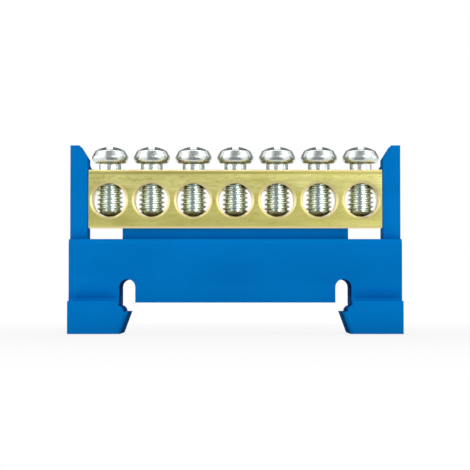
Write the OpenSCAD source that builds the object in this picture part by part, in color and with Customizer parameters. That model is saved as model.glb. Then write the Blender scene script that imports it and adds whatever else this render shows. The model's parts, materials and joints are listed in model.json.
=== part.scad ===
// Neutral terminal bar: a drilled brass bar with clamp screws, in a moulded holder that clips across a rail.
// Millimetres. The origin is under the middle of the feet: X runs along the bar, Y from front to back, Z up.

/* [Terminals] */
// Number of terminals along the bar
terminals = 7; // [6:1:12]
// Brass left between the mouths of neighbouring wire holes
terminal_gap = 0.6; // [0.3:0.05:2]
// Brass left between each outer terminal and the end of the bar
end_gap = 0.17; // [0.1:0.01:2]

/* [Brass bar] */
// Depth of the bar from front to back
bar_depth = 6; // [5.5:0.1:8]
// Height of the bar
bar_height = 9; // [8.4:0.1:12]
// Bevel along the long edges of the bar
bar_bevel = 0.25; // [0.1:0.05:0.5]
// Diameter of each wire hole
wire_hole_d = 5.2; // [4.6:0.1:6]
// Height of each wire hole's axis over the underside of the bar
wire_hole_height = 4.3; // [3.6:0.1:5]
// Width of the countersink round each mouth of a wire hole
wire_hole_rim = 0.35; // [0.1:0.05:0.5]
// Depth of that countersink
wire_rim_depth = 0.2; // [0.1:0.05:0.5]
// Countersink round the mouth of each tapped hole
tapped_rim = 0.2; // [0.1:0.05:0.4]

/* [Clamp screws] */
// Thread diameter of each screw
screw_d = 4; // [3:0.1:4.4]
// Clearance round the thread in its tapped hole
thread_clear = 0.05; // [0.02:0.01:0.1]
// Radius of the rounded tip, which spares the strands of a wire
tip_round_r = 2.5; // [2.4:0.1:5]
// Gap under the tip when the screw is run down
tip_gap = 0.1; // [0.05:0.05:1]
// Gap under the head when the screw is run down
head_lift = 1.1; // [0.3:0.1:2]
// Depth of the relief that thins the neck under the head
neck_relief = 0.3; // [0.1:0.02:0.4]
// Length of the neck under the head
neck_length = 1.2; // [0.6:0.1:2]
// Diameter of the head at its widest
head_d = 5.7; // [5:0.1:7]
// Diameter of the head's underside
head_seat_d = 4.4; // [3.8:0.1:4.8]
// Diameter of the rim round the head's domed top
head_rim_d = 4.7; // [3.6:0.1:4.9]
// Height of the head with its dome
head_height = 2.65; // [2.3:0.05:3.4]
// Height of the head's widest line over its underside
head_waist = 1.05; // [0.6:0.05:1.1]
// Rise of the dome above the rim round it
head_dome = 0.7; // [0.3:0.05:1]
// Width of the screwdriver slot
driver_slot_w = 1; // [0.6:0.1:1.4]
// Depth of the screwdriver slot
driver_slot_depth = 0.6; // [0.5:0.1:1.2]

/* [Rail clip] */
// Width of the mounting rail from edge to edge
rail_width = 35; // [32:0.5:36]
// Clearance between each edge of the rail and its leg
rail_clear = 0.25; // [0.1:0.05:0.6]
// Opening between hook and seat that takes the rail's edge
flange_gap = 1.35; // [1.1:0.05:2]
// Height of the hooks over the underside of the feet
hook_height = 3.4; // [2.6:0.1:5]
// Reach of each hook under the rail
hook_reach = 1.5; // [1:0.1:2]
// Setback of the lead-in's lower end from the leg's wall
hook_toe = 0.25; // [0:0.05:0.6]
// Radius of the ridge that bears on the rail's edge
ridge_r = 0.95; // [0.75:0.05:1.1]
// Reach of that ridge from the leg's wall
ridge_reach = 0.7; // [0.3:0.05:0.75]
// Width of the slot beside each leg, which lets it spring
spring_slot_w = 2.45; // [1.6:0.05:3.2]
// Rise of that slot above the rail seat
spring_slot_rise = 3.6; // [2.5:0.05:5]

/* [Holder] */
// Width of each leg
leg_width = 7.75; // [6:0.05:10]
// Depth of the body from front to back
body_depth = 10; // [8.5:0.1:14]
// Height of the body above the rail seat
body_height = 9.75; // [8:0.05:14]
// Radius along the front of the body's top
body_round = 0.8; // [0.2:0.1:1.5]
// Height of each foot
foot_height = 5; // [4.5:0.1:7]
// Flare of each foot in front of the body
foot_flare = 2.5; // [2:0.1:4]
// Radius of the cove above each foot
cove_r = 0.6; // [0.5:0.1:2]
// Height of the rib that carries the bar
rib_height = 1.75; // [1:0.05:3]
// Depth of that rib from front to back
rib_depth = 3; // [2:0.1:5]
// Width of the opening at each end of the rib
window_w = 5.35; // [3:0.05:8]
// Clearance at each end of the bar
bar_clear = 0.2; // [0.05:0.05:0.25]
// Thickness of each end post
post_w = 2.63; // [2:0.01:4]
// Rise of the posts above the bar
post_rise = 3.75; // [3:0.05:6]
// Width of the flat on top of each post
post_top_w = 1.4; // [0.8:0.05:1.8]
// Height of the lower end of each post's lead-in over the bar
lead_in_rise = 1.8; // [1.2:0.05:2.6]
// Reach of the catch on each post, from the post's wall
catch_reach = 0.4; // [0.3:0.05:0.45]
// Depth of the catch from front to back
catch_depth = 2.4; // [1:0.1:5]
// Height of the catch's upright face
catch_face = 0.3; // [0.1:0.05:0.5]
// Height of the slope above that face
catch_slope = 0.7; // [0.3:0.05:0.9]
// Clearance between the catch and the top of the bar
catch_clear = 0.05; // [0.02:0.01:0.2]

/* [Cored back] */
// Thickness left behind the front of the body
front_skin = 2; // [1.5:0.1:3]
// Thickness of the walls round the cores
core_wall = 1.8; // [1.2:0.1:2.2]
// Thickness of the ribs between the cores
core_rib = 1.2; // [0.8:0.1:1.6]
// Number of cores between the spring slots
core_count = 5; // [4:1:8]

/* [Hidden] */
// Overlap of pieces that are joined, and overrun of cuts
lap = 0.5;
// Steps in each round stretch of an outline
arc_steps = 10;
$fn = 64;

// Terminals and bar
wire_mouth_d = wire_hole_d + 2 * wire_hole_rim;
terminal_w = max(wire_mouth_d, head_d);
pitch = terminal_w + terminal_gap;
bar_length = (terminals - 1) * pitch + terminal_w + 2 * end_gap;

// Heights from the underside of the feet
seat_z = hook_height + flange_gap;
slot_top_z = seat_z + spring_slot_rise;
body_top_z = seat_z + body_height;
bar_z = body_top_z + rib_height;
bar_top_z = bar_z + bar_height;
wire_z = bar_z + wire_hole_height;
catch_z = bar_top_z + catch_clear;
post_top_z = bar_top_z + post_rise;

// Distances from the middle along X
leg_x = rail_width / 2 + rail_clear;
leg_end_x = leg_x + leg_width;
slot_mid_x = leg_x - spring_slot_w / 2;
hook_x = leg_x - hook_reach;
post_x = bar_length / 2 + bar_clear;
body_end_x = post_x + post_w;

// Places from front to back, with the body's back and the feet's back in one plane
foot_front_y = -(body_depth + foot_flare) / 2;
body_front_y = foot_front_y + foot_flare;
back_y = body_front_y + body_depth;
bar_y = (body_front_y + back_y) / 2;
core_y = body_front_y + front_skin;

// Depth of a wire hole's round floor below its axis, at a distance to the side
function floor_depth(x) = sqrt(pow(wire_hole_d / 2, 2) - pow(x, 2));

// Heights of a screw that is run down until its rounded tip is just clear of the wire hole's round floor
tip_rise = tip_round_r - sqrt(pow(tip_round_r, 2) - pow(screw_d / 2, 2));
tip_z = wire_z + tip_gap - min(floor_depth(0), floor_depth(screw_d / 2) + tip_rise);
head_z = bar_top_z + head_lift;
neck_d = screw_d - 2 * neck_relief;
tapped_d = screw_d + 2 * thread_clear;

HOLDER_BLUE = [0.01, 0.42, 0.72];
BRASS = [0.80, 0.74, 0.46];
ZINC = [0.83, 0.85, 0.84];

function screw_name(i) = str("clamp_screw_", i);
function screw_x(i) = (i - (terminals + 1) / 2) * pitch;

// Points of an elliptical arc about a centre, from one angle to another
function arc(centre, radii, from, to) = [
    for (i = [0 : arc_steps])
        let (a = from + (to - from) * i / arc_steps)
        centre + [radii[0] * cos(a), radii[1] * sin(a)]
];

// Points of a rectangle with bevelled corners, centred on the origin
function bevelled(w, h, b) = [
    [b - w / 2, -h / 2], [w / 2 - b, -h / 2], [w / 2, b - h / 2], [w / 2, h / 2 - b],
    [w / 2 - b, h / 2], [b - w / 2, h / 2], [-w / 2, h / 2 - b], [-w / 2, b - h / 2]
];

// Extrudes an outline drawn in X and Z along Y
module along_y(from, to) {
    translate([0, to, 0])
        rotate([90, 0, 0])
            linear_extrude(to - from)
                children();
}

// Extrudes an outline drawn in Y and Z along X
module along_x(from, to) {
    translate([from, 0, 0])
        rotate([90, 0, 90])
            linear_extrude(to - from)
                children();
}

// Draws what belongs to one end of the holder at both ends
module both_ends() {
    children();
    mirror([1, 0, 0])
        children();
}

// Outline of the body between the spring slots and out to its ends
module body_outline() {
    translate([-body_end_x, seat_z])
        square([2 * body_end_x, body_height]);
}

// Outline of one leg with its hook, up to a given height
module leg_outline(top) {
    polygon([
        [leg_x - hook_toe, 0], [leg_end_x, 0], [leg_end_x, top],
        [leg_x, top], [leg_x, hook_height], [hook_x, hook_height]
    ]);
}

// Side view of the body, with its rounded front top edge
module body_side() {
    polygon(concat(
        [[back_y, 0], [back_y, body_top_z]],
        arc([body_front_y + body_round, body_top_z - body_round], [body_round, body_round], 90, 180),
        [[body_front_y, 0]]
    ));
}

// Side view of a foot's flare, with the cove above it
module foot_side() {
    polygon(concat(
        [[body_front_y + lap, 0], [foot_front_y, 0], [foot_front_y, foot_height]],
        arc([body_front_y - cove_r, foot_height + cove_r], [cove_r, cove_r], 270, 360),
        [[body_front_y + lap, foot_height + cove_r]]
    ));
}

// Ridge inside one leg that bears on the rail's edge
module rail_ridge() {
    along_y(foot_front_y, back_y)
        intersection() {
            translate([leg_x - ridge_reach + ridge_r, hook_height])
                circle(ridge_r);
            translate([hook_x, hook_height - lap])
                square([hook_reach + lap, ridge_r + 2 * lap]);
        }
}

// One leg from its foot to the body's top
module leg() {
    intersection() {
        along_y(body_front_y, back_y)
            leg_outline(body_top_z);
        along_x(hook_x - lap, leg_end_x + lap)
            body_side();
    }
    intersection() {
        along_y(foot_front_y, body_front_y + lap)
            leg_outline(foot_height + cove_r);
        along_x(hook_x - lap, leg_end_x + lap)
            foot_side();
    }
    rail_ridge();
}

// Body that carries the bar and seats on the rail
module body() {
    intersection() {
        along_y(body_front_y, back_y)
            body_outline();
        along_x(-body_end_x - lap, body_end_x + lap)
            body_side();
    }
}

// Slot beside one leg, with a round top
module spring_slot() {
    round_z = slot_top_z - spring_slot_w / 2;
    along_y(body_front_y - lap, back_y + lap)
        polygon(concat(
            [[slot_mid_x - spring_slot_w / 2, seat_z - lap], [slot_mid_x + spring_slot_w / 2, seat_z - lap]],
            arc([slot_mid_x, round_z], [spring_slot_w / 2, spring_slot_w / 2], 0, 180)
        ));
}

// Post at one end of the bar, with a sloping lead-in at its top
module post() {
    along_y(bar_y - bar_depth / 2, bar_y + bar_depth / 2)
        polygon([
            [post_x, body_top_z - lap], [body_end_x, body_top_z - lap], [body_end_x, post_top_z],
            [body_end_x - post_top_w, post_top_z], [post_x, bar_top_z + lead_in_rise]
        ]);
}

// Catch on one post, which the bar snaps past as it is pressed in
module bar_catch() {
    tip_x = post_x - catch_reach;
    slope_z = catch_z + catch_face;
    along_y(bar_y - catch_depth / 2, bar_y + catch_depth / 2)
        polygon([
            [post_x + lap, catch_z], [post_x + lap, slope_z + catch_slope], [post_x, slope_z + catch_slope],
            [tip_x, slope_z], [tip_x, catch_z]
        ]);
}

// Rib that carries the bar, open at both ends
module support_rib() {
    rib_x = post_x - window_w;
    translate([-rib_x, bar_y - rib_depth / 2, body_top_z - lap])
        cube([2 * rib_x, rib_depth, rib_height + lap]);
}

// Cores moulded into the back of the body, between its ribs
module body_cores() {
    reach = leg_x - spring_slot_w - core_wall;
    core_w = (2 * reach - (core_count - 1) * core_rib) / core_count;
    for (i = [0 : core_count - 1])
        translate([i * (core_w + core_rib) - reach, core_y, seat_z + core_wall])
            cube([core_w, back_y - core_y + lap, body_height - 2 * core_wall]);
}

// Core moulded into the back of one leg
module leg_core() {
    translate([leg_x + core_wall, core_y, core_wall])
        cube([leg_width - 2 * core_wall, back_y - core_y + lap, body_top_z - 2 * core_wall]);
}

module holder() {
    color(HOLDER_BLUE)
        difference() {
            union() {
                body();
                support_rib();
                both_ends() {
                    leg();
                    post();
                    bar_catch();
                }
            }
            body_cores();
            both_ends() {
                spring_slot();
                leg_core();
            }
        }
}

// Bar as drawn and cut to length, before drilling
module bar_blank() {
    translate([0, bar_y, bar_z + bar_height / 2])
        along_x(-bar_length / 2, bar_length / 2)
            polygon(bevelled(bar_depth, bar_height, bar_bevel));
}

// Wire hole through the bar from front to back, countersunk at both mouths
module wire_hole() {
    overrun_d = wire_hole_d + 4 * wire_hole_rim;
    translate([0, bar_y, wire_z])
        rotate([90, 0, 0]) {
            cylinder(d = wire_hole_d, h = bar_depth + 2 * lap, center = true);
            for (face = [0, 180])
                rotate([face, 0, 0])
                    translate([0, 0, bar_depth / 2 - wire_rim_depth])
                        cylinder(d1 = wire_hole_d, d2 = overrun_d, h = 2 * wire_rim_depth);
        }
}

// Tapped hole from the top of the bar into the wire hole
module tapped_hole() {
    translate([0, bar_y, wire_z])
        cylinder(d = tapped_d, h = bar_top_z - wire_z + lap);
    translate([0, bar_y, bar_top_z - tapped_rim])
        cylinder(d1 = tapped_d, d2 = tapped_d + 2 * (tapped_rim + lap), h = tapped_rim + lap);
}

module brass_bar() {
    color(BRASS)
        difference() {
            bar_blank();
            for (i = [1 : terminals])
                translate([screw_x(i), 0, 0]) {
                    wire_hole();
                    tapped_hole();
                }
        }
}

// Half section of a screw, from its tip to the top of its head
module screw_section() {
    seat_r = head_seat_d / 2;
    head_r = head_d / 2;
    waist_z = head_z + head_waist;
    rim_r = head_rim_d / 2;
    dome_r = (pow(rim_r, 2) + pow(head_dome, 2)) / (2 * head_dome);
    tip_angle = asin(screw_d / 2 / tip_round_r);
    polygon(concat(
        arc([0, tip_z + tip_round_r], [tip_round_r, tip_round_r], 270, 270 + tip_angle),
        [[screw_d / 2, head_z - neck_length - neck_relief], [neck_d / 2, head_z - neck_length]],
        [[neck_d / 2, head_z]],
        arc([seat_r, waist_z], [head_r - seat_r, head_waist], 270, 360),
        arc([0, head_z + head_height - dome_r], [dome_r, dome_r], acos(rim_r / dome_r), 90)
    ));
}

module clamp_screw(i) {
    color(ZINC)
        translate([screw_x(i), bar_y, 0])
            difference() {
                rotate_extrude()
                    screw_section();
                translate([-driver_slot_w / 2, -head_d / 2 - lap, head_z + head_height - driver_slot_depth])
                    cube([driver_slot_w, head_d + 2 * lap, driver_slot_depth + lap]);
            }
}

holder();
brass_bar();
for (i = [1 : terminals])
    clamp_screw(i);
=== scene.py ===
"""Studio scene of a neutral terminal bar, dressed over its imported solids. Lengths are in metres."""
import json
import math

import bmesh
import bpy
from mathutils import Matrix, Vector


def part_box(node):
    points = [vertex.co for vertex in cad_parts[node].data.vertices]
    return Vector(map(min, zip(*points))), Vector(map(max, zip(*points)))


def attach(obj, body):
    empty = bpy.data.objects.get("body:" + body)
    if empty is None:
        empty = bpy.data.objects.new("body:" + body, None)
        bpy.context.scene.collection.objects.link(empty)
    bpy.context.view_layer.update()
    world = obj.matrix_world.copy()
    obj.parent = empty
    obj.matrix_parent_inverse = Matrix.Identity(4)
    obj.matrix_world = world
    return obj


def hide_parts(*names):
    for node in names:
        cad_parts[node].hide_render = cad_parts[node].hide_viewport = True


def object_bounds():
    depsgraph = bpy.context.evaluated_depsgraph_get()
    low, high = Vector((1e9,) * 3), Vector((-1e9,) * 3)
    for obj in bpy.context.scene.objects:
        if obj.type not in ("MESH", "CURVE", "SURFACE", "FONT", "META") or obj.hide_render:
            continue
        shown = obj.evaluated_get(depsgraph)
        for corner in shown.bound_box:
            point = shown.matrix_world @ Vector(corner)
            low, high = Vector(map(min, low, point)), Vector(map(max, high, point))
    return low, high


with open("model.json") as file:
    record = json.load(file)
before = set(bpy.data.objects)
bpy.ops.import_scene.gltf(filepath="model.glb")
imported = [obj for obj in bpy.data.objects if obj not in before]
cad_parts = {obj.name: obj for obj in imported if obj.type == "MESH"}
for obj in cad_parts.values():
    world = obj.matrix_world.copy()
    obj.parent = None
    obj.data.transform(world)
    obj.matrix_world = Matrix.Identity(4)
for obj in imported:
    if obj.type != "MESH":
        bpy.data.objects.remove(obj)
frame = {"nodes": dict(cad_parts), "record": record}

MM = 0.001

cad_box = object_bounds()
body_of = {node: body for body, nodes in frame["record"]["behaviour"]["bodies"].items() for node in nodes}
screws = sorted(node for node in frame["nodes"] if node.startswith("clamp_screw_"))
screw_low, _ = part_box(screws[0])
bar_low, bar_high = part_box("brass_bar")

# Camera, square on to the holder's front and low, so that it looks up a little
CAMERA_PLACE = (-0.05 * MM, -286.75 * MM, 6.0 * MM)
CAMERA_RISE = math.radians(1.839)
CAMERA_NEAR = 0.01
CAMERA_FAR = 50.0
LENS_MM = 141.75
SENSOR_MM = 36.0

# Soft boxes on a sphere round the part. Azimuth 0 is in front of it, and 90 to its right.
STUDIO_R = 0.40
LAMPS = (   # name, azimuth, elevation, width, height, radiance, surfaces that it lights
    ("right_lamp", 37.0, 4.0, 0.34, 0.24, 3.3, "glossy"),
    ("left_lamp", -58.0, 4.0, 0.40, 0.24, 1.6, "glossy"),
    ("right_high_lamp", 68.0, 40.0, 0.34, 0.28, 1.3, "glossy"),
    ("left_high_lamp", -68.0, 40.0, 0.34, 0.28, 1.3, "glossy"),
    ("front_lamp", 0.0, 14.0, 0.12, 0.24, 12.3, "matt"),
    ("right_side_lamp", 90.0, 4.0, 0.16, 0.30, 2.4, "all"),
    ("left_side_lamp", -94.0, 4.0, 0.16, 0.30, 2.4, "all"),
    ("edge_lamp", 0.0, 86.0, 0.50, 0.06, 4.4, "all"),
    ("front_top_lamp", 0.0, 62.0, 0.34, 0.12, 0.2, "glossy"),
    ("top_lamp", 0.0, 76.0, 0.50, 0.20, 0.68, "matt"),
    ("right_back_lamp", 172.0, 12.0, 0.24, 0.24, 2.8, "matt"),
    ("left_back_lamp", -172.0, 12.0, 0.24, 0.24, 2.8, "matt"),
    ("right_fill_lamp", 104.0, 14.0, 0.20, 0.24, 2.2, "matt"),
    ("left_fill_lamp", -104.0, 14.0, 0.20, 0.24, 2.2, "matt"),
)

# Cards that only show in gloss: dark flags on the same sphere, and a card on the floor in front
FLAGS = (   # name, azimuth, elevation, width, height
    ("right_flag", 142.0, 8.0, 0.24, 0.34),
    ("left_flag", -142.0, 8.0, 0.24, 0.34),
    ("back_flag", 180.0, 50.0, 0.50, 0.50),
)
FLAG_GREY = 0.18
FRONT_CARD_MM = ((-30, -24), (30, -24), (210, -400), (-210, -400))
FRONT_CARD_GREY = 0.26

# World and floor. Colours here and below are linear, and pairs are ranges.
WHITE = (1.0, 1.0, 1.0)
ROOM = (0.18, 0.18, 0.18)
ROOM_IN_GLOSS = (0.20, 0.205, 0.21)
BEHIND = (-0.25, 0.35)               # Y of a ray's way, from the room to the white
FLOOR_HALF = 4.0
FLOOR_Z = -0.1 * MM
FLOOR_TONE = (0.60, 0.60, 0.60)
PAINTED_UNDER_SHADE_TONE = (0.08, 0.08, 0.08)      # painted shade on the floor under the part, in the light that the floor throws up
UNDER_EDGE = (4.0 * MM, 12.0 * MM)   # distance from the part's long middle plane
GLOW_SHARE = (0.86, 1.0)             # the rest keeps the shadow
GLOW_EDGE = (0.03, 0.14)             # distance from the part's middle

# Range that a noise mostly keeps to
NOISE_RANGE = (0.3, 0.7)

# Blue plastic
PLASTIC_DARK = (0.0004, 0.150, 0.470)
PLASTIC_LIGHT = (0.0006, 0.168, 0.515)
PLASTIC_PAINTED_SHADE = (0.0002, 0.064, 0.280)   # painted shade in inner corners
PLASTIC_ROUGHNESS = (0.80, 0.92)
CORNER_REACH = 3.0 * MM
CORNER_OPENNESS = (0.47, 0.94)       # from the deepest corner to a plain face

# Drawn brass, with a painted dark reflection under its top edge and painted shade towards its bottom
BRASS_DARK = (0.69, 0.64, 0.205)
BRASS_LIGHT = (0.95, 0.93, 0.43)
BRASS_CUT = (0.78, 0.66, 0.31)
BRASS_BORE = (0.98, 0.92, 0.62)
BRASS_TOP = (0.70, 0.54, 0.26)
BRASS_ROUGHNESS = (0.50, 0.62)
BRASS_CUT_ROUGHNESS = 0.44
MOTTLE_RANGE = (0.32, 0.68)
STREAK_TONE = (0.60, 0.54, 0.16)
STREAK_RANGE = (0.35, 0.65)
STREAK_SHARE = 0.45
FLECK_TONE = (0.40, 0.34, 0.09)
FLECK_RANGE = (0.56, 0.70)
FLECK_SHARE = 0.35
# Painted shade, darker and yellower towards the bar's bottom
PAINTED_LOW_SHADE_TONE = (0.59, 0.545, 0.147)
PAINTED_LOW_SHADE_Z = (bar_low.z + 1.75 * MM, bar_high.z - 1.75 * MM)
PAINTED_LOW_SHADE_SHARE = 0.55
# Painted dark reflection, in a band under the bar's top edge
PAINTED_REFLECTION_TONE = (0.43, 0.39, 0.10)
PAINTED_REFLECTION_Z = bar_high.z - 0.49 * MM
PAINTED_REFLECTION_EDGE = (0.154 * MM, 0.286 * MM)   # distance from the painted reflection's middle
PAINTED_REFLECTION_SHARE = 0.65
SQUARE_ON = (0.90, 0.98)             # part of a normal along an axis, up to a face that is square to it
SLANTING = (0.10, 0.40)              # the same, from a face along the axis to one that slants

# Zinc plate
ZINC_DARK = (0.65, 0.72, 0.69)
ZINC_LIGHT = (0.78, 0.84, 0.81)
ZINC_ROUGHNESS = (0.20, 0.30)

# Rounded edges
HOLDER_EDGE = 0.16 * MM
LEAD_IN_EDGE = 0.45 * MM             # at the front of the hooks
BAR_EDGE = 0.06 * MM
EDGE_STEPS = 3
SHARP_ANGLE = math.radians(28)
CREASE_ANGLE = math.radians(32)
FLAT_ANGLE = math.radians(0.8)       # between faces that are made one
WELD = 0.001 * MM                    # between points that are made one
SLIVER = 0.002 * MM                  # edges that are too short to keep
NEAR_FRONT = 0.01 * MM               # within which a point is at the part's front

# Clamp screw
SCREW_R = 2.0 * MM
ROOT_R = 1.6 * MM
THREAD_PITCH = 0.7 * MM
THREAD_POINTS = (   # share of pitch, share of depth
    (0.0, 1.0), (0.125, 1.0), (0.28, 0.5), (0.4375, 0.0),
    (0.5625, 0.0), (0.6875, 0.0), (0.84, 0.5), (1.0, 1.0))
RUNOUT = 0.4 * THREAD_PITCH          # over which the thread fades into the neck
TIP_ROUND_R = 2.5 * MM
TIP_FLAT_R = 0.3 * MM
SHANK_LENGTH = 8.3 * MM              # from the tip to the head
NECK_R = 1.7 * MM
NECK_LENGTH = 1.2 * MM
NECK_FILLET = 0.2 * MM
HEAD_R = 2.85 * MM
HEAD_SEAT_R = 2.2 * MM
HEAD_RIM_R = 2.35 * MM
HEAD_FLAT_R = 0.65 * MM
HEAD_HEIGHT = 2.65 * MM
HEAD_WAIST = 1.05 * MM
HEAD_DOME = 0.7 * MM
WAIST_EDGE = 0.15 * MM
RIM_EDGE = 0.1 * MM
SLOT_HALF = 0.5 * MM
SLOT_DEPTH = 0.6 * MM
SLOT_EDGE = 0.06 * MM
SCREW_WELD = 0.0001 * MM
SIDE_STEPS = 34                      # columns of points on each side of the driver slot
SLOT_STEPS = 4                       # columns across the slot
FILLET_STEPS = 4
WAIST_STEPS = 8
RIM_STEPS = 2                        # on the dome, up to the slot's floor
DOME_STEPS = 6                       # on the dome, beside the slot
LIP_STEPS = 2


def link(made):
    """Puts an object into the scene."""
    bpy.context.scene.collection.objects.link(made)
    return made


def empty_tree(owner):
    """Gives a material or world a node tree with nothing in it."""
    owner.use_nodes = True
    owner.node_tree.nodes.clear()
    return owner


def feed(owner, socket, value):
    """Gives a socket a value, or links it to another node's output."""
    if isinstance(value, bpy.types.NodeSocket):
        owner.node_tree.links.new(value, socket)
    else:
        socket.default_value = value


def add_node(owner, kind, inputs, **settings):
    """Adds a node with its own settings, feeds its inputs by name or number, and gives its outputs."""
    made = owner.node_tree.nodes.new(kind)
    for key, value in settings.items():
        setattr(made, key, value)
    for key, value in inputs.items():
        feed(owner, made.inputs[key], value)
    return made.outputs


def maths(owner, operation, *values):
    """The result of a Math node."""
    return add_node(owner, "ShaderNodeMath", dict(enumerate(values)), operation=operation)["Value"]


def axes(owner, vector):
    """A vector's X, Y and Z, by name."""
    return add_node(owner, "ShaderNodeSeparateXYZ", {"Vector": vector})


def noise(owner, scale, stretch=(1.0, 1.0, 1.0), detail=3.0, roughness=0.55):
    """Noise in the part's own frame."""
    place = add_node(owner, "ShaderNodeTexCoord", {})["Object"]
    mapped = add_node(owner, "ShaderNodeMapping", {"Vector": place, "Scale": stretch})["Vector"]
    inputs = {"Vector": mapped, "Scale": scale, "Detail": detail, "Roughness": roughness}
    return add_node(owner, "ShaderNodeTexNoise", inputs)["Fac"]


def spread(owner, value, source, target=(0.0, 1.0)):
    """A value's range spread over another range, and held inside it."""
    inputs = {"Value": value, "From Min": source[0], "From Max": source[1]}
    inputs.update({"To Min": target[0], "To Max": target[1]})
    return add_node(owner, "ShaderNodeMapRange", inputs)["Result"]


def blend(owner, share, first, second):
    """A colour between two others. The numbers are those of the Mix node's colour sockets."""
    first, second = ((*tone, 1.0) if isinstance(tone, tuple) else tone for tone in (first, second))
    return add_node(owner, "ShaderNodeMix", {"Factor": share, 6: first, 7: second}, data_type="RGBA")[2]


def bump(owner, height, strength, distance, painted_under_shade=None):
    """A bumped normal, over another one where one is given."""
    inputs = {"Height": height, "Strength": strength, "Distance": distance}
    if painted_under_shade is not None:
        inputs["Normal"] = painted_under_shade
    return add_node(owner, "ShaderNodeBump", inputs)["Normal"]


def openness(owner, reach):
    """How open a surface is within a reach: 1 on a flat or outer face, about a half in a square corner."""
    inputs = {"Distance": reach}
    return add_node(owner, "ShaderNodeAmbientOcclusion", inputs, samples=8, only_local=True)["AO"]


def any_ray(owner, rays, *names):
    """1 where a ray is of one of these kinds."""
    total = rays[names[0]]
    for name in names[1:]:
        total = maths(owner, "MAXIMUM", total, rays[name])
    return total


def add_surface(owner, inputs):
    """Ends a material with a Principled shader."""
    shader = add_node(owner, "ShaderNodeBsdfPrincipled", inputs)["BSDF"]
    add_node(owner, "ShaderNodeOutputMaterial", {"Surface": shader})
    return owner


def blue_plastic():
    """Matt blue moulding compound, with faint flow marks and a fine grain, and painted shade in its inner
    corners.
    """
    made = empty_tree(bpy.data.materials.new("blue_plastic"))
    flow = noise(made, scale=90.0, stretch=(1.0, 1.0, 1.6), detail=2.0)
    grain = noise(made, scale=5200.0, detail=2.0)
    tone = blend(made, spread(made, flow, NOISE_RANGE), PLASTIC_DARK, PLASTIC_LIGHT)
    # Painted shade: the colour darkens to a deep blue in inner corners, where shade falls
    painted_corner_shade = spread(made, openness(made, CORNER_REACH), CORNER_OPENNESS, (1.0, 0.0))
    waves = bump(made, flow, strength=0.10, distance=0.4 * MM)
    return add_surface(made, {
        "Base Color": blend(made, painted_corner_shade, tone, PLASTIC_PAINTED_SHADE),
        "Roughness": spread(made, grain, NOISE_RANGE, PLASTIC_ROUGHNESS),
        "Normal": bump(made, grain, strength=0.12, distance=0.02 * MM, painted_under_shade=waves),
        "IOR": 1.49,
        "Specular IOR Level": 0.004,
    })


def drawn_brass():
    """Drawn brass with a lengthwise grain and a mottled tone, bright where it was cut and brown on top,
    with painted shade towards its bottom and a painted dark reflection under its top edge.
    """
    made = empty_tree(bpy.data.materials.new("drawn_brass"))
    surface = add_node(made, "ShaderNodeNewGeometry", {})
    facing = axes(made, surface["Normal"])
    height = axes(made, surface["Position"])["Z"]
    grain = noise(made, scale=4200.0, stretch=(0.05, 1.0, 1.0), detail=4.0, roughness=0.6)
    mottle = noise(made, scale=420.0, stretch=(0.35, 1.0, 1.0), detail=4.0, roughness=0.6)
    flecks = noise(made, scale=2600.0, stretch=(0.45, 1.0, 1.0), detail=2.0)
    off_painted_reflection = maths(made, "ABSOLUTE", maths(made, "SUBTRACT", height, PAINTED_REFLECTION_Z))
    tone = blend(made, spread(made, mottle, MOTTLE_RANGE), BRASS_DARK, BRASS_LIGHT)
    for share, mark in (
        (spread(made, grain, STREAK_RANGE, (0.0, STREAK_SHARE)), STREAK_TONE),
        (spread(made, flecks, FLECK_RANGE, (0.0, FLECK_SHARE)), FLECK_TONE),
        # painted shade towards the bar's bottom
        (spread(made, height, PAINTED_LOW_SHADE_Z, (PAINTED_LOW_SHADE_SHARE, 0.0)), PAINTED_LOW_SHADE_TONE),
        # painted dark reflection under the top edge
        (spread(made, off_painted_reflection, PAINTED_REFLECTION_EDGE, (PAINTED_REFLECTION_SHARE, 0.0)), PAINTED_REFLECTION_TONE),
    ):
        tone = blend(made, share, tone, mark)
    across = maths(made, "ABSOLUTE", facing["Y"])
    drawn = spread(made, across, SQUARE_ON)
    front = blend(made, drawn, BRASS_CUT, tone)
    inside = blend(made, spread(made, facing["Z"], SQUARE_ON), BRASS_BORE, BRASS_TOP)
    dull = spread(made, mottle, NOISE_RANGE, BRASS_ROUGHNESS)
    return add_surface(made, {
        "Base Color": blend(made, spread(made, across, SLANTING), inside, front),
        "Roughness": spread(made, drawn, (0.0, 1.0), (BRASS_CUT_ROUGHNESS, dull)),
        "Normal": bump(made, grain, strength=0.25, distance=0.02 * MM),
        "Metallic": 1.0,
    })


def zinc_plate():
    """Bright zinc plating, faintly clouded."""
    made = empty_tree(bpy.data.materials.new("zinc_plate"))
    cloud = noise(made, scale=900.0)
    fine = noise(made, scale=9000.0, stretch=(1.0, 1.0, 0.4), detail=2.0)
    return add_surface(made, {
        "Base Color": blend(made, spread(made, cloud, NOISE_RANGE), ZINC_DARK, ZINC_LIGHT),
        "Roughness": spread(made, cloud, NOISE_RANGE, ZINC_ROUGHNESS),
        "Normal": bump(made, fine, strength=0.08, distance=0.01 * MM),
        "Metallic": 1.0,
    })


def is_sharp(edge, angle):
    """Whether an edge's two faces meet at more than an angle."""
    return len(edge.link_faces) == 2 and edge.calc_face_angle(0.0) > angle


def is_lead_in(edge):
    """Whether an edge runs down a hook's sloping face, at the front of a foot."""
    first, last = (v.co for v in edge.verts)
    at_front = max(first.y, last.y) < cad_box[0].y + NEAR_FRONT
    return at_front and min(abs(first.x - last.x), abs(first.z - last.z)) > LEAD_IN_EDGE


def bevel(bm, edges, offset, steps):
    """Rounds edges, or cuts them flat where there is one step."""
    bmesh.ops.bevel(bm, geom=edges, offset=offset, offset_type="OFFSET", segments=steps, profile=0.5,
                    affect="EDGES", clamp_overlap=True)


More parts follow.
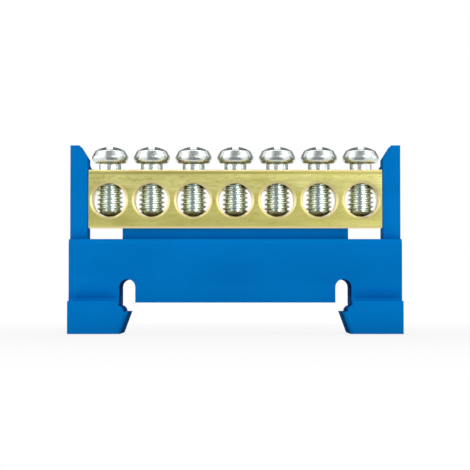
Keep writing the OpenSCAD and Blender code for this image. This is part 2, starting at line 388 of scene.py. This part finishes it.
def to_mesh(bm, name):
    """Shades the faces smooth up to the crease angle, and gives a mesh."""
    for face in bm.faces:
        face.smooth = True
    for edge in bm.edges:
        edge.smooth = not is_sharp(edge, CREASE_ANGLE)
    made = bpy.data.meshes.new(name)
    bm.to_mesh(made)
    bm.free()
    return made


def rounded_copy(node, edge_r):
    """A copy of a CAD node's mesh with its sharp edges rounded, after any lead-ins are eased."""
    bm = bmesh.new()
    bm.from_mesh(frame["nodes"][node].data)
    bmesh.ops.remove_doubles(bm, verts=bm.verts, dist=WELD)
    bmesh.ops.dissolve_limit(bm, angle_limit=FLAT_ANGLE, verts=bm.verts, edges=bm.edges)
    bevel(bm, [e for e in bm.edges if is_lead_in(e)], LEAD_IN_EDGE, 1)
    bevel(bm, [e for e in bm.edges if is_sharp(e, SHARP_ANGLE)], edge_r, EDGE_STEPS)
    bmesh.ops.dissolve_degenerate(bm, dist=SLIVER, edges=bm.edges)
    return to_mesh(bm, node)


def screw_angles(r):
    """Angles of a ring's columns, with four of them in line with the sides of the driver slot."""
    slot = math.asin(SLOT_HALF / r)
    side = math.pi - 2 * slot
    start = slot - math.pi / 2
    right = [start + side * i / SIDE_STEPS for i in range(SIDE_STEPS)]
    back = [math.pi / 2 - slot + 2 * slot * i / SLOT_STEPS for i in range(SLOT_STEPS)]
    half = right + back
    return half + [a + math.pi for a in half]


def thread_r(turns, z, low, high):
    """Radius of the shank where its thread has risen so many turns, between its tip and its neck."""
    share = turns % 1.0
    for (a, depth_a), (b, depth_b) in zip(THREAD_POINTS, THREAD_POINTS[1:]):
        if a <= share <= b:
            depth = depth_a + (depth_b - depth_a) * (share - a) / (b - a)
    threaded = ROOT_R + (SCREW_R - ROOT_R) * depth
    kept = min(1.0, (high - z) / RUNOUT)
    up = min(z - low, TIP_ROUND_R)
    tip_r = math.sqrt(up * (2 * TIP_ROUND_R - up))
    return min(NECK_R + (threaded - NECK_R) * kept, max(tip_r, TIP_FLAT_R))


def add_shank(bm, low, high):
    """Adds the threaded shank, whose rows of points climb with the helix, and gives its top ring."""
    angles = screw_angles(NECK_R)
    per_turn = len(THREAD_POINTS) - 1
    rows = [turn + share for turn in range(math.ceil((high - low) / THREAD_PITCH) + 2)
            for share, _ in THREAD_POINTS[:-1]]
    columns = []
    for angle in angles:
        column = []
        for row in rows:
            climbed = (row - 1 + (angle - angles[0]) / math.tau) * THREAD_PITCH
            z = min(max(low + climbed, low), high)
            turns = (z - low) / THREAD_PITCH - (angle - angles[0]) / math.tau
            r = thread_r(turns, z, low, high)
            column.append(bm.verts.new((r * math.cos(angle), r * math.sin(angle), z)))
        columns.append(column)
    for j, column in enumerate(columns):
        seam = per_turn if j == len(columns) - 1 else 0
        beside = columns[j + 1 - len(columns)][seam:]
        for i in range(len(beside) - 1):
            bm.faces.new((column[i], beside[i], beside[i + 1], column[i + 1]))
    bm.faces.new([column[0] for column in reversed(columns)])
    return [column[-1] for column in columns]


def arc(centre, radii, first, last, steps):
    """Points of an elliptical arc after its first point, as (r, z)."""
    return [(centre[0] + radii[0] * math.cos(a), centre[1] + radii[1] * math.sin(a))
            for a in (first + (last - first) * (i + 1) / steps for i in range(steps))]


def add_rings(bm, ring, profile, columns):
    """Continues a ring of points along a profile, with faces in these columns, and gives the last ring."""
    for r, z in profile:
        new = [bm.verts.new((r * math.cos(a), r * math.sin(a), z)) for a in screw_angles(r)]
        for j in columns:
            k = (j + 1) % len(new)
            bm.faces.new((ring[j], ring[k], new[k], new[j]))
        ring = new
    return ring


def screw_mesh(low):
    """A slotted clamp screw on the Z axis, with a helical thread and a pan head."""
    head_z = low + SHANK_LENGTH
    waist_z = head_z + HEAD_WAIST
    rim_rise = HEAD_HEIGHT - HEAD_WAIST - HEAD_DOME
    lean = (HEAD_R - HEAD_RIM_R) / rim_rise
    dome_r = (HEAD_RIM_R ** 2 + HEAD_DOME ** 2) / (2 * HEAD_DOME)
    dome = ((0.0, head_z + HEAD_HEIGHT - dome_r), (dome_r, dome_r))
    floor_angle = math.asin((dome_r - SLOT_DEPTH) / dome_r)
    fillet = ((NECK_R + NECK_FILLET, head_z - NECK_FILLET), (NECK_FILLET, NECK_FILLET))
    waist = ((HEAD_SEAT_R, waist_z), (HEAD_R - HEAD_SEAT_R, HEAD_WAIST))
    bm = bmesh.new()

    # Shank, neck and head, up to the height of the slot's floor
    lower = [(NECK_R, head_z - NECK_FILLET)]
    lower += arc(*fillet, math.pi, math.pi / 2, FILLET_STEPS)
    lower += [(HEAD_SEAT_R, head_z)]
    lower += arc(*waist, -math.pi / 2, 0.0, WAIST_STEPS)
    lower += [(HEAD_R - lean * up, waist_z + up) for up in (WAIST_EDGE, rim_rise - RIM_EDGE, rim_rise)]
    lower += arc(*dome, math.acos(HEAD_RIM_R / dome_r), floor_angle, RIM_STEPS)
    half = SIDE_STEPS + SLOT_STEPS
    floor = add_rings(bm, add_shank(bm, low, head_z - NECK_LENGTH), lower, range(2 * half))

    # The dome on each side of the slot, with the slot's walls and floor
    sides = [j for j in range(2 * half) if j % half < SIDE_STEPS]
    corners = (0, SIDE_STEPS, half, half + SIDE_STEPS)
    walls = [[floor[j]] for j in corners]
    ring = floor
    for point in arc(*dome, floor_angle, math.acos(HEAD_FLAT_R / dome_r), DOME_STEPS):
        ring = add_rings(bm, ring, [point], sides)
        for wall, j in zip(walls, corners):
            wall.append(ring[j])
    for j in (0, half):
        bm.faces.new(ring[j:j + SIDE_STEPS + 1])
    for first, last in (walls[:2], walls[2:]):
        bm.faces.new([*last, *reversed(first)])
    bm.faces.new([floor[0], *floor[SIDE_STEPS:half + 1], *floor[half + SIDE_STEPS:]])

    bmesh.ops.delete(bm, geom=[v for v in bm.verts if not v.link_faces], context="VERTS")
    bmesh.ops.remove_doubles(bm, verts=bm.verts, dist=SCREW_WELD)
    bmesh.ops.recalc_face_normals(bm, faces=bm.faces)
    lips = [e for e in bm.edges if is_sharp(e, CREASE_ANGLE) and min(v.co.z for v in e.verts) > waist_z]
    bevel(bm, lips, SLOT_EDGE, LIP_STEPS)
    return to_mesh(bm, "clamp_screw")


def add_piece(name, mesh, material, node, place=(0.0, 0.0, 0.0)):
    """A piece that stands for a CAD node and rides on its body."""
    made = link(bpy.data.objects.new(name, mesh))
    made.location = place
    mesh.materials.clear()
    mesh.materials.append(material)
    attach(made, body_of[node])
    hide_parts(node)
    return made


def add_camera():
    """The camera that takes the photo's view."""
    data = bpy.data.cameras.new("camera")
    data.sensor_width = SENSOR_MM
    data.lens = LENS_MM
    data.clip_start = CAMERA_NEAR
    data.clip_end = CAMERA_FAR
    made = link(bpy.data.objects.new("camera", data))
    made.location = CAMERA_PLACE
    made.rotation_euler = (math.pi / 2 + CAMERA_RISE, 0.0, 0.0)
    bpy.context.scene.camera = made


def round_the_part(made, azimuth, elevation):
    """Puts an object on the studio's sphere, turned to the part."""
    turn = math.radians(azimuth)
    rise = math.radians(elevation)
    way = Vector((math.sin(turn) * math.cos(rise), -math.cos(turn) * math.cos(rise), math.sin(rise)))
    made.location = (cad_box[0] + cad_box[1]) / 2 + way * STUDIO_R
    made.rotation_euler = way.to_track_quat("Z", "Y").to_euler()


def add_lamp(name, azimuth, elevation, width, height, radiance, lights):
    """A soft box of a given radiance, which the camera doesn't see."""
    data = bpy.data.lights.new(name, "AREA")
    data.shape = "RECTANGLE"
    data.size = width
    data.size_y = height
    data.energy = radiance * math.pi * width * height
    made = link(bpy.data.objects.new(name, data))
    round_the_part(made, azimuth, elevation)
    made.visible_camera = False
    made.visible_diffuse = lights != "glossy"
    made.visible_glossy = lights != "matt"


def add_sheet(name, corners, material):
    """A flat piece of the stage."""
    bm = bmesh.new()
    bm.faces.new([bm.verts.new(corner) for corner in corners])
    mesh = bpy.data.meshes.new(name)
    bm.to_mesh(mesh)
    bm.free()
    mesh.materials.append(material)
    made = link(bpy.data.objects.new(name, mesh))
    return made


def oblong(width, height):
    """Corners of a flat oblong round the origin."""
    x, y = width / 2, height / 2
    return ((-x, -y, 0.0), (x, -y, 0.0), (x, y, 0.0), (-x, y, 0.0))


def add_card(name, corners, grey):
    """A card that only shows in the gloss of metal, as a photographer's flags do."""
    material = empty_tree(bpy.data.materials.new(name))
    add_surface(material, {"Base Color": (grey, grey, grey, 1.0), "Roughness": 1.0})
    made = add_sheet(name, corners, material)
    made.visible_camera = False
    made.visible_diffuse = False
    made.visible_shadow = False
    return made


def add_world():
    """White behind the part, and a dimmer room in front of it."""
    world = empty_tree(bpy.data.worlds.new("studio"))
    bpy.context.scene.world = world
    way = add_node(world, "ShaderNodeTexCoord", {})["Generated"]
    rays = add_node(world, "ShaderNodeLightPath", {})
    mirrored = any_ray(world, rays, "Is Glossy Ray", "Is Transmission Ray")
    shown = maths(world, "MULTIPLY", mirrored, spread(world, axes(world, way)["Y"], BEHIND))
    shown = maths(world, "MAXIMUM", shown, rays["Is Camera Ray"])
    room = blend(world, rays["Is Glossy Ray"], ROOM, ROOM_IN_GLOSS)
    colour = blend(world, shown, room, WHITE)
    light = add_node(world, "ShaderNodeBackground", {"Color": colour, "Strength": 1.0})["Background"]
    add_node(world, "ShaderNodeOutputWorld", {"Surface": light})


def white_floor():
    """Matt white that glows for the camera and for gloss, with painted shade under the part, so that it
    throws little light up there.
    """
    made = empty_tree(bpy.data.materials.new("white_floor"))
    place = add_node(made, "ShaderNodeTexCoord", {})["Object"]
    rays = add_node(made, "ShaderNodeLightPath", {})
    aside = maths(made, "ABSOLUTE", axes(made, place)["Y"])
    # Painted shade: the floor is darker under the part, for diffuse rays only
    painted_under_shade = maths(made, "MULTIPLY", spread(made, aside, UNDER_EDGE, (1.0, 0.0)), rays["Is Diffuse Ray"])
    tone = blend(made, painted_under_shade, FLOOR_TONE, PAINTED_UNDER_SHADE_TONE)
    matt = add_node(made, "ShaderNodeBsdfDiffuse", {"Color": tone})["BSDF"]
    glow = add_node(made, "ShaderNodeEmission", {"Color": (*WHITE, 1.0), "Strength": 1.0})["Emission"]
    reach = add_node(made, "ShaderNodeVectorMath", {0: place}, operation="LENGTH")["Value"]
    seen = any_ray(made, rays, "Is Camera Ray", "Is Glossy Ray", "Is Transmission Ray")
    share = maths(made, "MULTIPLY", seen, spread(made, reach, GLOW_EDGE, GLOW_SHARE))
    mixed = add_node(made, "ShaderNodeMixShader", {0: share, 1: matt, 2: glow})["Shader"]
    add_node(made, "ShaderNodeOutputMaterial", {"Surface": mixed})
    return made


# Studio
add_camera()
add_world()
add_sheet("floor", oblong(2 * FLOOR_HALF, 2 * FLOOR_HALF), white_floor()).location.z = FLOOR_Z
for lamp in LAMPS:
    add_lamp(*lamp)
add_card("front_card", [(x * MM, y * MM, 0.0) for x, y in FRONT_CARD_MM], FRONT_CARD_GREY)
for name, azimuth, elevation, width, height in FLAGS:
    round_the_part(add_card(name, oblong(width, height), FLAG_GREY), azimuth, elevation)

# Pieces. The holder is hidden from gloss, because the heads would mirror its blue.
holder_mesh = rounded_copy("holder", HOLDER_EDGE)
moulding = add_piece("holder_moulding", holder_mesh, blue_plastic(), "holder")
moulding.visible_glossy = False
add_piece("drilled_bar", rounded_copy("brass_bar", BAR_EDGE), drawn_brass(), "brass_bar")
zinc = zinc_plate()
screw = screw_mesh(screw_low.z)
for node in screws:
    low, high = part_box(node)
    add_piece(node.replace("clamp", "slotted"), screw.copy(), zinc, node,
              ((low.x + high.x) / 2, (low.y + high.y) / 2, 0.0))

bpy.context.scene.view_settings.view_transform = "Standard"
